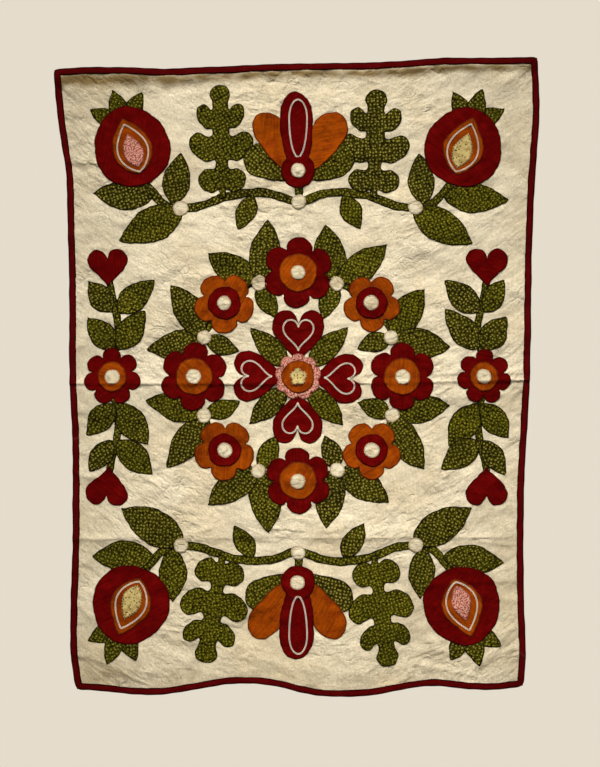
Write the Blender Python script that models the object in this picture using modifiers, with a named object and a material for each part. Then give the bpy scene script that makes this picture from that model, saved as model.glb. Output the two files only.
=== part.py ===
"""Applique wall quilt with a narrow dark binding, in the shape in which it hangs from its top edge.

Units are metres. The origin is the middle of the top edge; +X is the viewer's right, -Y the
front and +Z up. The quilt is worked out as a flat pattern, across (0 in the middle) by down
(0 at the top edge), and every piece is carried from the pattern to the hanging cloth by hang().
"""
import math

import bpy
import numpy as np

# Flat pattern
HALF_WIDTH = 0.365          # middle to outer side edge
LENGTH = 0.985              # top edge to hem
FOLD_DOWN = 0.503           # packing fold across the whole quilt

# Cloth
BODY_THICK = 0.0024         # pieced top, thin wadding and backing together
STRIP_THICK = 0.0008        # doubled binding cloth
CLEARANCE = 0.0005          # between pieces
BIND_WIDTH = 0.0115         # binding seen from the front, and the same behind
TURN_RADIUS = BODY_THICK / 2 + CLEARANCE + STRIP_THICK / 2      # middle of the turned strip
BODY_INSET = TURN_RADIUS + STRIP_THICK / 2                      # outline to the body's raw edge

# Mesh stations
COLUMNS = 28                # between the two margins
MARGIN = 0.016              # last station that a corner mitre may reach
CREST = 0.013               # station to either side of the packing fold

# Where the binding strips are joined end to end, down from the top edge
LEFT_JOIN = 0.590
RIGHT_JOIN = 0.938

# Rows of mesh stations. start down, end down, steps
ROW_SECTIONS = (
    (MARGIN, FOLD_DOWN - CREST, 18),
    (FOLD_DOWN - CREST, FOLD_DOWN + CREST, 2),
    (FOLD_DOWN + CREST, LEFT_JOIN, 3),
    (LEFT_JOIN, RIGHT_JOIN, 13),
    (RIGHT_JOIN, LENGTH - MARGIN, 1),
)

# Outline. height, left edge, right edge
SIDES = (
    (0.000, -0.3835, 0.3760),
    (-0.040, -0.3815, 0.3785),
    (-0.090, -0.3765, 0.3780),
    (-0.130, -0.3705, 0.3745),
    (-0.165, -0.3645, 0.3720),
    (-0.240, -0.3615, 0.3690),
    (-0.370, -0.3590, 0.3655),
    (-0.500, -0.3580, 0.3630),
    (-0.590, -0.3540, 0.3585),
    (-0.660, -0.3535, 0.3545),
    (-0.740, -0.3530, 0.3535),
    (-0.840, -0.3560, 0.3540),
    (-0.940, -0.3555, 0.3565),
    (-0.985, -0.3480, 0.3530),
)
# across, height of the top edge
TOP = (
    (-0.365, -0.0095), (-0.305, -0.0055), (-0.250, -0.0060), (-0.200, -0.0085),
    (-0.135, -0.0055), (-0.075, -0.0030), (0.000, 0.0000), (0.085, 0.0012),
    (0.142, 0.0028), (0.181, 0.0060), (0.224, 0.0088), (0.290, 0.0090), (0.365, 0.0098),
)
# across, height of the packing fold
FOLD = ((-0.365, -0.5025), (0.060, -0.5035), (0.190, -0.5000), (0.365, -0.4975))
# across, height of the hem
HEM = (
    (-0.365, -0.9830), (-0.320, -0.9850), (-0.224, -0.9885), (-0.170, -0.9820),
    (-0.124, -0.9755), (-0.078, -0.9740), (-0.031, -0.9790), (0.018, -0.9900),
    (0.078, -0.9920), (0.124, -0.9890), (0.170, -0.9820), (0.230, -0.9770),
    (0.274, -0.9810), (0.331, -0.9810), (0.365, -0.9770),
)

# Soft flutes of the lower half. across, half width, forward at the hem, reach up from the hem
FLUTES = (
    (-0.240, 0.120, 0.0100, 0.34),
    (-0.090, 0.085, -0.0035, 0.28),
    (0.080, 0.135, 0.0130, 0.42),
    (0.215, 0.060, -0.0020, 0.24),
    (0.300, 0.090, 0.0085, 0.30),
)
# Broad unevenness of the upper half. across, down, half width, half height, forward
SWELLS = (
    (-0.190, 0.250, 0.190, 0.260, 0.0030),
    (0.170, 0.230, 0.200, 0.240, 0.0035),
    (0.000, 0.420, 0.150, 0.200, -0.0015),
    (-0.365, 0.020, 0.090, 0.140, 0.0025),
    (0.365, 0.030, 0.090, 0.140, 0.0020),
)
# Creases as low ridges. across and down at both ends, half width, forward
CREASES = (
    (-0.400, 0.503, 0.400, 0.503, 0.020, 0.0050),
    (-0.380, 0.155, 0.380, 0.158, 0.030, 0.0014),
    (-0.380, 0.752, 0.300, 0.746, 0.032, 0.0018),
    (0.000, 0.000, -0.004, 0.330, 0.032, 0.0012),
    (0.330, 0.440, 0.326, 0.620, 0.032, 0.0014),
    (-0.345, 0.900, -0.240, 0.955, 0.034, 0.0022),
    (0.230, 0.890, 0.345, 0.950, 0.034, 0.0020),
)

CREAM = (0.723, 0.605, 0.394, 1.0)
MAROON = (0.074, 0.004, 0.004, 1.0)


def smooth(table, x):
    """Height of a gently curved line through a table's rows at x."""
    xs, ys = (np.array(column) for column in zip(*table))
    slopes = np.gradient(ys, xs)
    x = min(max(x, xs[0]), xs[-1])
    i = min(max(int(np.searchsorted(xs, x)) - 1, 0), len(xs) - 2)
    step = xs[i + 1] - xs[i]
    t = (x - xs[i]) / step
    return ((2 * t**3 - 3 * t**2 + 1) * ys[i] + (3 * t**2 - 2 * t**3) * ys[i + 1]
            + (t**3 - 2 * t**2 + t) * step * slopes[i] + (t**3 - t**2) * step * slopes[i + 1])


def bump(distance, reach):
    """1 at the middle, falling smoothly to 0 at reach."""
    t = min(abs(distance) / reach, 1.0)
    return (1 - t * t) ** 2


def forward(across, down):
    """How far the cloth stands forward of the plane of its top edge."""
    depth = 0.0
    for middle, half, amount, reach in FLUTES:
        depth += amount * bump(across - middle, half) * bump(LENGTH - down, reach)
    for middle, level, half, tall, amount in SWELLS:
        depth += amount * bump(across - middle, half) * bump(down - level, tall)
    for x0, d0, x1, d1, half, amount in CREASES:
        along = np.array((x1 - x0, d1 - d0))
        t = np.dot((across - x0, down - d0), along) / np.dot(along, along)
        t = min(max(t, 0.0), 1.0)
        apart = math.hypot(across - x0 - t * along[0], down - d0 - t * along[1])
        depth += amount * bump(apart, half)
    return depth * min(down / 0.05, 1.0)


def middle_point(across, down):
    """A pattern point on the middle surface of the hanging cloth."""
    fold = smooth(FOLD, across)
    if down < FOLD_DOWN:
        t = down / FOLD_DOWN
        height = (1 - t) * smooth(TOP, across) + t * fold
    else:
        t = (down - FOLD_DOWN) / (LENGTH - FOLD_DOWN)
        height = (1 - t) * fold + t * smooth(HEM, across)
    rising = SIDES[::-1]
    left = smooth([(z, x) for z, x, _ in rising], height)
    right = smooth([(z, x) for z, _, x in rising], height)
    x = (left + right) / 2 + across / HALF_WIDTH * (right - left) / 2
    return np.array((x, -forward(across, down), height))


def hang(across, down, out=0.0):
    """A pattern point on the hanging cloth, out metres in front of its middle surface."""
    point = middle_point(across, down)
    if out == 0.0:
        return point
    step = 0.002
    sideways = middle_point(across + step, down) - middle_point(across - step, down)
    upward = middle_point(across, down - step) - middle_point(across, down + step)
    normal = np.cross(sideways, upward)
    return point + out * normal / np.linalg.norm(normal)


def evenly(start, end, count):
    """Stations between start and end, both ends included."""
    return [start + (end - start) * i / count for i in range(count + 1)]


def grid_object(name, place, columns, rows, thickness, material, collection):
    """A sheet: a grid whose vertex (i, j) stands at place(i, j), thickened about its middle."""
    bpy.ops.mesh.primitive_grid_add(x_subdivisions=columns - 1, y_subdivisions=rows - 1, size=1)
    sheet = bpy.context.object
    sheet.name = sheet.data.name = name
    for vertex in sheet.data.vertices:
        i = round((vertex.co.x + 0.5) * (columns - 1))
        j = round((vertex.co.y + 0.5) * (rows - 1))
        vertex.co = place(i, j)
    sheet.data.shade_smooth()
    sheet.data.materials.append(material)
    solid = sheet.modifiers.new("thickness", "SOLIDIFY")
    solid.thickness = thickness
    solid.offset = 0.0
    for other in sheet.users_collection:
        other.objects.unlink(sheet)
    collection.objects.link(sheet)
    return sheet


def strip_profile():
    """The turned strip from its front edge round to its back edge. inset, out"""
    turn = [(BODY_INSET - TURN_RADIUS * math.sin(angle), TURN_RADIUS * math.cos(angle))
            for angle in evenly(0.0, math.pi, 4)]
    return [(BIND_WIDTH, TURN_RADIUS)] + turn + [(BIND_WIDTH, -TURN_RADIUS)]


def binding_strip(name, side, start, end, stations, material, collection):
    """One length of binding. side is top, hem, left or right; start and end are pattern
    places along it, or None for a mitred corner; stations are the places between them."""
    profile = strip_profile()
    inner = [s for s in stations if (start is None or s > start + 0.008)
             and (end is None or s < end - 0.008)]
    corner = -HALF_WIDTH if side in ("top", "hem") else 0.0
    far = HALF_WIDTH if side in ("top", "hem") else LENGTH
    forwards = side in ("hem", "right")         # keeps the faces pointing out

    def place(i, j):
        inset, out = profile[j if forwards else len(profile) - 1 - j]
        mitre = inset + CLEARANCE * 1.2
        if i == 0:
            along = corner + mitre if start is None else start
        elif i == len(inner) + 1:
            along = far - mitre if end is None else end
        else:
            along = inner[i - 1]
        if side == "top":
            return hang(along, inset, out)
        if side == "hem":
            return hang(along, LENGTH - inset, out)
        if side == "left":
            return hang(-HALF_WIDTH + inset, along, out)
        return hang(HALF_WIDTH - inset, along, out)

    grid_object(name, place, len(inner) + 2, len(profile), STRIP_THICK, material, collection)


def cloth_material(name, color, roughness):
    material = bpy.data.materials.new(name)
    material.use_nodes = True
    shader = material.node_tree.nodes["Principled BSDF"]
    shader.inputs["Base Color"].default_value = color
    shader.inputs["Roughness"].default_value = roughness
    shader.inputs["Metallic"].default_value = 0.0
    return material


def main():
    for old in list(bpy.data.objects):
        bpy.data.objects.remove(old, do_unlink=True)
    quilt = bpy.data.collections.new("applique_quilt")
    bpy.context.scene.collection.children.link(quilt)
    muslin = cloth_material("cream_muslin", CREAM, 0.9)
    maroon = cloth_material("maroon_cotton", MAROON, 0.85)

    columns = evenly(-HALF_WIDTH + MARGIN, HALF_WIDTH - MARGIN, COLUMNS)
    rows = [MARGIN]
    for start, end, steps in ROW_SECTIONS:
        rows += evenly(start, end, steps)[1:]

    edge_columns = [-HALF_WIDTH + BODY_INSET, -HALF_WIDTH + BIND_WIDTH]
    body_columns = edge_columns + columns + [-c for c in reversed(edge_columns)]
    body_rows = ([BODY_INSET, BIND_WIDTH] + rows + [LENGTH - BIND_WIDTH, LENGTH - BODY_INSET])
    last = len(body_rows) - 1
    grid_object("quilt_body", lambda i, j: hang(body_columns[i], body_rows[last - j]),
                len(body_columns), len(body_rows), BODY_THICK, muslin, quilt)

    half = CLEARANCE / 2
    binding_strip("binding_top", "top", None, None, columns, maroon, quilt)
    binding_strip("binding_hem", "hem", None, None, columns, maroon, quilt)
    binding_strip("binding_left_upper", "left", None, LEFT_JOIN - half, rows, maroon, quilt)
    binding_strip("binding_left_lower", "left", LEFT_JOIN + half, None, rows, maroon, quilt)
    binding_strip("binding_right_upper", "right", None, RIGHT_JOIN - half, rows, maroon, quilt)
    binding_strip("binding_right_lower", "right", RIGHT_JOIN + half, None, rows, maroon, quilt)


main()
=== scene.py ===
"""Looks of the applique wall quilt: muslin top with turned-edge patches in a wreath-and-sprays
design, outline stitching, narrow maroon binding and plain backing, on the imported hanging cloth.
Metres throughout; the front faces -Y and +Z is up."""
import math

import bpy
import numpy as np
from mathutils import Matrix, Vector
from mathutils.bvhtree import BVHTree
from mathutils.geometry import delaunay_2d_cdt


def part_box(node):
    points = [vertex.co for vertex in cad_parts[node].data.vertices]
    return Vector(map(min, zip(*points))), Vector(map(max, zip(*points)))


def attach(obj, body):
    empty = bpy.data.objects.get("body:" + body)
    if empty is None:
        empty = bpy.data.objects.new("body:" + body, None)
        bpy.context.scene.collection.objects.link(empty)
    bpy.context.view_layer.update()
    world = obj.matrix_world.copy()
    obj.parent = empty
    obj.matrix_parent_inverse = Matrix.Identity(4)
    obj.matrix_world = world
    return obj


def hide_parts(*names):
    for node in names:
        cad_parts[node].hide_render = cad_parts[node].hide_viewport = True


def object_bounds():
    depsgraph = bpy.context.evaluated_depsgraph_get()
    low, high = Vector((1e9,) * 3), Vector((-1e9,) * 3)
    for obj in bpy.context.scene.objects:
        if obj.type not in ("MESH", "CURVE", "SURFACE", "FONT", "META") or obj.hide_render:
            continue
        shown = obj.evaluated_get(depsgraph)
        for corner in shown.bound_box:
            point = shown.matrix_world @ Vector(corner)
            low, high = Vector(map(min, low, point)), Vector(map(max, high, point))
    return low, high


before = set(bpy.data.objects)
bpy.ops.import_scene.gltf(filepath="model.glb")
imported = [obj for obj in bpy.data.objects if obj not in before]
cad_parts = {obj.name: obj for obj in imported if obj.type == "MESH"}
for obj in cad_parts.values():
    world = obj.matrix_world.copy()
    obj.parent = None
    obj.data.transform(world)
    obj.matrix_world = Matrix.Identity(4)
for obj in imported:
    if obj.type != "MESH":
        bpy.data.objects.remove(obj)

MM = 0.001
RNG = np.random.default_rng(11)
CAD_LOW, CAD_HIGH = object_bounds()
WIDTH, HEIGHT = CAD_HIGH.x - CAD_LOW.x, CAD_HIGH.z - CAD_LOW.z

# Cloth sizes, metres
BODY_HALF = 1.2 * MM            # middle of the quilt to its muslin top
BIND_WIDTH = 11.3 * MM          # binding seen from the front
CORNER_ROUND = 1.5 * MM         # how far a corner's tip is drawn in
TOP_GRID = (268, 364)           # points of the muslin top, across and down
BACK_GRID = (150, 200)
SHEET_INSET = 6 * MM            # where both sheets end, inside the binding
COVERED_DROP = 0.7 * MM         # how much lower the top lies under patches
HIDDEN_DROP = 0.6 * MM          # and a patch under later ones
SINK = 0.45 * MM                # muslin drawn down along a sewn edge
THREAD = 0.24 * MM              # radius of the sewing thread
CHAIN_THREAD = 0.36 * MM        # and of the embroidery thread
STITCH_STEP = 4.4 * MM
NOTCH = 0.28 * MM               # how far a stitch draws an edge in
CHAIN_LINK = 3.4 * MM
CHAIN_WIDTH = 1.8 * MM

# Lattice on which the cloth's relief is worked out
CELL = 1.0 * MM
PAD = 15 * MM
FEATURE = 2.2                   # width of a smoothed field's features, in reaches of the blur
DRAPE_STRIDE = 8                # cells between the places where the drape is read
GRID_X0, GRID_Z0 = CAD_LOW.x - PAD, CAD_HIGH.z + PAD
COLS, ROWS = (int((size + 2 * PAD) / CELL) + 1 for size in (WIDTH, HEIGHT))
LATTICE_X = GRID_X0 + CELL * np.arange(COLS)
LATTICE_Z = GRID_Z0 - CELL * np.arange(ROWS)


# ---------------- fields on the lattice

def blur(field, across, down=None):
    """Smooth a lattice field by about this many cells across and down."""
    for axis, reach in ((1, int(across)), (0, int(across if down is None else down))):
        if reach < 1:
            continue
        width = 2 * reach + 1
        for _ in range(3):
            pad = [(0, 0), (0, 0)]
            pad[axis] = (reach + 1, reach)
            total = np.cumsum(np.pad(field, pad, mode="edge"), axis=axis)
            ahead = np.take(total, range(width, total.shape[axis]), axis=axis)
            behind = np.take(total, range(0, total.shape[axis] - width), axis=axis)
            field = (ahead - behind) / width
    return field


def cloud(across, down=None):
    """Smooth random field of unit spread, with features about this many millimetres wide."""
    cells_a_mm = MM / CELL / FEATURE
    field = blur(RNG.standard_normal((ROWS, COLS)), across * cells_a_mm,
                 (across if down is None else down) * cells_a_mm)
    return (field - field.mean()) / field.std()


def sample(field, x, z):
    """Lattice field at points, between its cells."""
    c = np.clip((np.asarray(x) - GRID_X0) / CELL, 0, COLS - 1.001)
    r = np.clip((GRID_Z0 - np.asarray(z)) / CELL, 0, ROWS - 1.001)
    i, j = r.astype(int), c.astype(int)
    fr, fc = r - i, c - j
    return ((field[i, j] * (1 - fc) + field[i, j + 1] * fc) * (1 - fr)
            + (field[i + 1, j] * (1 - fc) + field[i + 1, j + 1] * fc) * fr)


def soft_step(value, low, high):
    """Smooth step from 0 at low to 1 at high."""
    t = np.clip((value - low) / (high - low), 0, 1)
    return t * t * (3 - 2 * t)


def fading(distance, reach):
    """1 up to a line, and dying away beyond it over about this many millimetres."""
    return np.exp(-np.maximum(distance, 0) / (reach * MM))


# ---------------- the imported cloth

def solids(names):
    """Vertices of some CAD nodes together, and their edges and faces as vertex numbers."""
    points, edges, faces = [], [], []
    for name in names:
        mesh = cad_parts[name].data
        start = len(points)
        points += [tuple(v.co) for v in mesh.vertices]
        edges += [[start + i for i in e.vertices] for e in mesh.edges]
        faces += [[start + i for i in p.vertices] for p in mesh.polygons]
    return np.array(points), np.array(edges), faces


def edge_line(nodes, cut_axis, side):
    """Outer edge of the quilt as it shows on some binding nodes: places on one axis and how far
    the solids reach along the other there, to the low side (0) or the high side (1)."""
    points, pairs, _ = solids(nodes)
    points = points[:, [cut_axis, 2 - cut_axis]]
    a, b = points[pairs[:, 0]], points[pairs[:, 1]]
    made = []
    for place in np.linspace(points[:, 0].min() + MM, points[:, 0].max() - MM, 150):
        crossing = (a[:, 0] - place) * (b[:, 0] - place) < 0
        if crossing.any():
            p, q = a[crossing].T, b[crossing].T
            found = p[1] + (place - p[0]) / (q[0] - p[0]) * (q[1] - p[1])
            made.append((place, found.max() if side else found.min()))
    return np.array(made).T


def read_drape():
    """Depth of the quilt's middle surface on the lattice: halfway between what a line of
    sight meets from the front and from behind, smoothed over the solids' facets."""
    points, _, faces = solids(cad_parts)
    tree = BVHTree.FromPolygons(points.tolist(), faces)
    rows, cols = range(0, ROWS, DRAPE_STRIDE), range(0, COLS, DRAPE_STRIDE)
    coarse = np.full((len(rows), len(cols)), np.nan)
    for i, r in enumerate(rows):
        for j, c in enumerate(cols):
            x, z = LATTICE_X[c], LATTICE_Z[r]
            front = tree.ray_cast(Vector((x, -1, z)), Vector((0, 1, 0)))[0]
            back = tree.ray_cast(Vector((x, 1, z)), Vector((0, -1, 0)))[0]
            if front and back:
                coarse[i, j] = (front.y + back.y) / 2
    for missing in np.argwhere(np.isnan(coarse)):
        known = np.argwhere(~np.isnan(coarse))
        nearest = known[np.argmin(np.sum((known - missing) ** 2, axis=1))]
        coarse[tuple(missing)] = coarse[tuple(nearest)]
    fine = np.array([np.interp(np.arange(COLS), cols, row) for row in coarse])
    fine = np.array([np.interp(np.arange(ROWS), rows, col) for col in fine.T]).T
    return blur(fine, 7, 18)


LEFT = edge_line(("binding_left_upper", "binding_left_lower"), 2, 0)
RIGHT = edge_line(("binding_right_upper", "binding_right_lower"), 2, 1)
TOP = edge_line(("binding_top",), 0, 1)
HEM = edge_line(("binding_hem",), 0, 0)
DRAPE = read_drape()


def edge(line, place):
    """Where an edge line lies at a place along it."""
    return np.interp(place, *line)


def edge_inset(side, x, z, depth):
    """Places moved straight on to the line at this depth inside one edge."""
    if side in ("left", "right"):
        return (edge(LEFT, z) + depth if side == "left" else edge(RIGHT, z) - depth), z
    return x, (edge(TOP, x) - depth if side == "top" else edge(HEM, x) + depth)


# ---------------- outlines of the patches
# Each is an array of (x, z), drawn upwards from its base at the origin.

def unit(vectors):
    """Vectors made one long."""
    return vectors / np.maximum(np.linalg.norm(vectors, axis=-1), 1e-9)[..., None]


def right_of(way):
    """Directions a quarter turn clockwise from these."""
    return np.column_stack((way[:, 1], -way[:, 0]))


def rotated(points, angle):
    """Points turned clockwise about the origin, by radians."""
    c, s = math.cos(angle), math.sin(angle)
    x, z = points.T
    return np.column_stack((x * c + z * s, z * c - x * s))


def lengths(path):
    """Length of a path up to each of its points."""
    return np.concatenate(([0], np.cumsum(np.linalg.norm(np.diff(path, axis=0), axis=1))))


def grid_points(x, z):
    """All points of a grid, row by row."""
    return np.column_stack([values.ravel() for values in np.meshgrid(x, z)])


def mirrored(half, up):
    """Closed outline from half widths up one side, and the same down the other."""
    right = np.column_stack((half, up))
    return np.vstack((right, (right * (-1, 1))[-2:0:-1]))


def leaf(length, width, bend=0.0):
    """Pointed leaf with a rounded base."""
    t = np.linspace(0, 1, 26)
    outline = mirrored(width / 2 * np.sin(np.pi * t ** 0.86) ** 0.86, t * length)
    outline[:, 0] += bend * np.sin(np.pi * 0.9 * outline[:, 1] / length)
    return outline


# Half of an oak leaf's outline: share of its half width, share of its length
OAK_LEAF = (
    (0.12, 0.00), (0.12, 0.08), (0.34, 0.05), (0.66, 0.10), (0.74, 0.20), (0.52, 0.27),
    (0.24, 0.27), (0.22, 0.34), (0.54, 0.33), (0.92, 0.41), (1.00, 0.52), (0.74, 0.59),
    (0.34, 0.55), (0.28, 0.61), (0.48, 0.62), (0.74, 0.70), (0.74, 0.80), (0.50, 0.83),
    (0.28, 0.78), (0.26, 0.84), (0.34, 0.91), (0.22, 0.98), (0.00, 1.00),
)


def oak_leaf(length, width):
    """Leaf with rounded lobes on both sides and one at its tip."""
    half = curve(np.array(OAK_LEAF) * (width / 2, length))
    half[:, 0] = np.maximum(half[:, 0], 0)
    return mirrored(half[:, 0], half[:, 1])


def petal(length, width):
    """Long petal, broadest near its rounded end."""
    widest, beyond = 0.68, 0.32     # shares of the length, below its broadest place and above
    t = (1 - np.cos(np.linspace(0, np.pi, 40))) / 2
    run = np.where(t < widest, widest, beyond)
    half = np.sqrt(np.clip(1 - ((t - widest) / run) ** 2, 0, 1))
    return mirrored(width / 2 * np.maximum(half, 0.2 * (1 - t) * (t > 0)), t * length)


def disc(radius):
    a = np.linspace(0, 2 * np.pi, 40, endpoint=False)
    return radius * np.column_stack((np.sin(a), np.cos(a)))


def rosette(radius, count, notch):
    """Rounded petals cut as one piece; notch is how deep they part."""
    a = np.linspace(0, 2 * np.pi, 18 * count, endpoint=False)
    r = radius * (1 - notch * (1 - np.abs(np.cos(a * count / 2)) ** 0.55))
    return np.column_stack((r * np.sin(a), r * np.cos(a)))


def heart(height, width):
    a = np.linspace(np.pi, 3 * np.pi, 60, endpoint=False)
    z = 13 * np.cos(a) - 5 * np.cos(2 * a) - 2 * np.cos(3 * a) - np.cos(4 * a)
    return np.column_stack((np.sin(a) ** 3 * width / 2, (z - z.min()) / np.ptp(z) * height))


def fruit(height, width):
    """Round fruit, a little broader below."""
    a = np.linspace(0, 2 * np.pi, 48, endpoint=False)
    x = np.sin(a) * (1 + 0.10 * np.cos(a))
    return np.column_stack((x * width / 2, (1 - np.cos(a)) / 2 * height))


def curve(path, step=3 * MM):
    """Smooth curve through a few points, at about even steps."""
    p = np.array(path, float)
    p = np.vstack((2 * p[0] - p[1], p, 2 * p[-1] - p[-2]))
    made = []
    for a, b, c, d in zip(p[:-3], p[1:-2], p[2:-1], p[3:]):
        t = np.arange(0, 1, step / max(np.linalg.norm(c - b), step))[:, None]
        made.append(0.5 * (2 * b + (c - a) * t + (2 * a - 5 * b + 4 * c - d) * t ** 2
                           + (3 * b - a - 3 * c + d) * t ** 3))
    return np.vstack(made + [p[-2:-1]])


def stem(path, width):
    """Folded bias strip of even width along a smooth path."""
    spine = curve(path)
    side = unit(right_of(np.gradient(spine, axis=0))) * width / 2
    return np.vstack((spine + side, (spine - side)[::-1]))


# ---------------- the design

MIDDLE = (CAD_LOW.z + CAD_HIGH.z) / 2       # height of the medallion's centre
RING = 0.163                                # radius of its ring of stem
STEM_WIDTH = 14 * MM
SPRIG_STEM_WIDTH = 12 * MM
EYE = 11.6 * MM                             # radius of the small cream discs
LEAF_BEND = 4 * MM

# Length and width of patches that repeat
RING_LEAF, INNER_LEAF, HEART_LEAF = (0.097, 0.050), (0.060, 0.033), (0.088, 0.038)
HEART, BUD, FRUIT = (0.088, 0.083), (0.064, 0.066), (0.127, 0.120)
# Radius and petals of the flowers, and the share of the radius to their inner discs
BIG_FLOWER, SMALL_FLOWER, SIDE_FLOWER, INNER = (0.055, 6), (0.047, 5), (0.044, 7), 0.54

# Palmette petals. turn, fabric, length; their width and the height of their base
PALMETTE = ((-68, "green", 0.092), (68, "green", 0.092), (-36, "orange", 0.113),
            (36, "orange", 0.113), (0, "red", 0.128))
PETAL_WIDTH, PALMETTE_UP = 0.053, 0.318
# Heights of the small discs on the palmette and on the stem below it
EYES_UP = (0.322, 0.274)
# Stem of a corner scroll. across, up from the middle
SCROLL_STEM = ((0, 0.272), (0.050, 0.288), (0.105, 0.284), (0.160, 0.266), (0.205, 0.268),
               (0.240, 0.302))
# Leaves of a corner scroll. shape, across, up from the middle, turn, length, width
SCROLL_LEAVES = (
    (oak_leaf, 0.118, 0.278, 5, 0.172, 0.104), (leaf, 0.178, 0.262, 120, 0.116, 0.056),
    (leaf, 0.226, 0.282, 88, 0.100, 0.050), (leaf, 0.196, 0.268, -4, 0.082, 0.044),
    (leaf, 0.070, 0.284, 152, 0.062, 0.034),
)
# Stem and leaves of an upright side sprig
SPRIG_STEM = ((0.296, -0.150), (0.282, -0.075), (0.292, 0), (0.282, 0.075), (0.296, 0.150))
SPRIG_LEAVES = ((0.284, 0.042, -40, 0.080, 0.045), (0.287, 0.042, 38, 0.068, 0.042),
                (0.284, 0.100, -48, 0.076, 0.044), (0.291, 0.100, 36, 0.062, 0.037))

patches = []            # (fabric, outline) in sewing order
lines = []              # closed lines of outline embroidery


def polar(radius, angle):
    """A place about the medallion's centre, clockwise from straight up."""
    a = math.radians(angle)
    return radius * math.sin(a), MIDDLE + radius * math.cos(a)


def near(value, share=0.05):
    """A measure as a hand gets it, within this share of what was meant."""
    return value * (1 + RNG.uniform(-share, share))


def about(angle, degrees):
    return angle + RNG.uniform(-degrees, degrees)


def handmade(shape, size, *more, share=0.05):
    """A shape whose length and width come out within a share of what was meant."""
    return shape(*(near(side, share) for side in size), *more)


def placed(outline, x=0, z=0, turn=0, mirror=1, up=None):
    """Turn an outline clockwise by degrees and set it down at (x, z); mirror -1 then flips it
    about the quilt's upright middle line. With up, heights are counted from the quilt's middle:
    up 1 counts them upwards and -1 downwards."""
    px, pz = (rotated(outline, math.radians(turn)) + (x, z)).T
    return np.column_stack((px * mirror, pz if up is None else MIDDLE + up * pz))


def sew(fabric, outline, *place, **flips):
    patches.append((fabric, placed(outline, *place, **flips)))


def eye(x, z):
    dx, dz = RNG.uniform(-1, 1, 2) * MM
    sew("cream", disc(near(EYE)), x + dx, z + dz)


def flower(x, z, size, outer, inner, turn=0.0):
    """Rosette in one fabric, a disc on it in another, and a small cream disc on both."""
    radius, count = size
    sew(outer, rosette(near(radius), count, 0.28), x, z, about(turn, 6))
    sew(inner, disc(near(radius * INNER)), x, z)
    eye(x, z)


def medallion():
    """Ring of stem with leaves and flowers, round four hearts and a rosette."""
    for k in range(8):
        arc = [polar(near(RING, 0.01), 45 * k + s) for s in (-1, 9, 18, 27, 36, 46)]
        sew("green", stem(arc, STEM_WIDTH))
    for k in range(8):
        a = 45 * k + 22.5
        x, z = polar(RING - 4 * MM, a)
        for side in (-1, 1):
            sew("green", handmade(leaf, RING_LEAF, side * LEAF_BEND), x, z,
                a + side * RNG.uniform(29, 37))
        sew("green", handmade(leaf, INNER_LEAF, LEAF_BEND / 2), x, z, about(a + 180, 5))
        eye(x, z)
    for k in range(8):
        x, z = polar(RING, 45 * k)
        if k % 2:
            flower(x, z, SMALL_FLOWER, "orange", "red", 180)
        else:
            flower(x, z, BIG_FLOWER, "red", "orange")
    for k in range(4):
        a = about(90 * k, 3)
        sew("green", handmade(leaf, HEART_LEAF), *polar(0.020, a + 45), a + 45)
        sew("red", handmade(heart, HEART), *polar(0.014, a), a)
        lines.append(placed(heart(0.048, 0.048), *polar(0.041, a), a))
    for fabric, outline in (("pink", rosette(0.037, 9, 0.16)), ("orange", disc(0.026)),
                            ("yellow", rosette(0.014, 5, 0.25))):
        sew(fabric, outline, 0, MIDDLE)


def fruit_head(mirror, up, seed_fabric):
    """Fruit with a leafy crown at a scroll's end, cut open to a pointed seed."""
    lean = RNG.uniform(16, 24)
    a = math.radians(lean)

    def along(rise, turn=0):
        return 0.240 + rise * math.sin(a), 0.300 + rise * math.cos(a), lean + turn, mirror, up

    for turn, length in ((-44, 0.060), (44, 0.060), (0, 0.064)):
        sew("green", leaf(near(length), 0.032), *along(0.096, turn))
    sew("red", handmade(fruit, FRUIT, share=0.03), *along(0))
    sew("orange", leaf(0.094, 0.064), *along(0.017))
    sew(seed_fabric, leaf(0.057, 0.031), *along(0.028))
    lines.append(placed(leaf(0.078, 0.048), *along(0.022)))


def scrolls(up):
    """Palmette and two corner scrolls in the upper half, up 1, or the lower half, up -1."""
    for m in (1, -1):
        sew("green", stem([(m * x, z) for x, z in SCROLL_STEM], STEM_WIDTH), up=up)
        for shape, x, z, turn, *size in SCROLL_LEAVES:
            sew("green", handmade(shape, size), x, z, about(turn, 5), m, up)
        sew("cream", disc(near(EYE)), 0.184, 0.264, 0, m, up)
        fruit_head(m, up, "yellow" if up * m > 0 else "pink")
    for turn, fabric, length in PALMETTE:
        blade = petal(near(length, 0.03), near(PETAL_WIDTH))
        sew(fabric, blade, 0, PALMETTE_UP, about(turn, 3), up=up)
    lines.append(placed(petal(0.090, 0.028), 0, 0.344, up=up))
    sew("green", stem([(0, 0.272), (0.001, 0.297), (0, 0.322)], STEM_WIDTH), up=up)
    sew("red", disc(0.027), 0, EYES_UP[0], up=up)
    for height in EYES_UP:
        eye(0, MIDDLE + up * height)


def side_sprig(m):
    """Upright sprig on the right side, m 1, or the left side, m -1."""
    path = [(m * x, MIDDLE + z) for x, z in SPRIG_STEM]
    sew("green", stem(path, SPRIG_STEM_WIDTH))
    for up in (1, -1):
        for x, z, turn, *size in SPRIG_LEAVES:
            sew("green", handmade(leaf, size), x, z, about(turn, 5), m, up)
        sew("red", handmade(heart, BUD), 0.296, 0.138, about(0, 6), m, up)
    flower(0.291 * m, MIDDLE, SIDE_FLOWER, "red", "orange")


medallion()
for side in (1, -1):
    scrolls(side)
    side_sprig(side)


# ---------------- patches on the lattice

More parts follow.
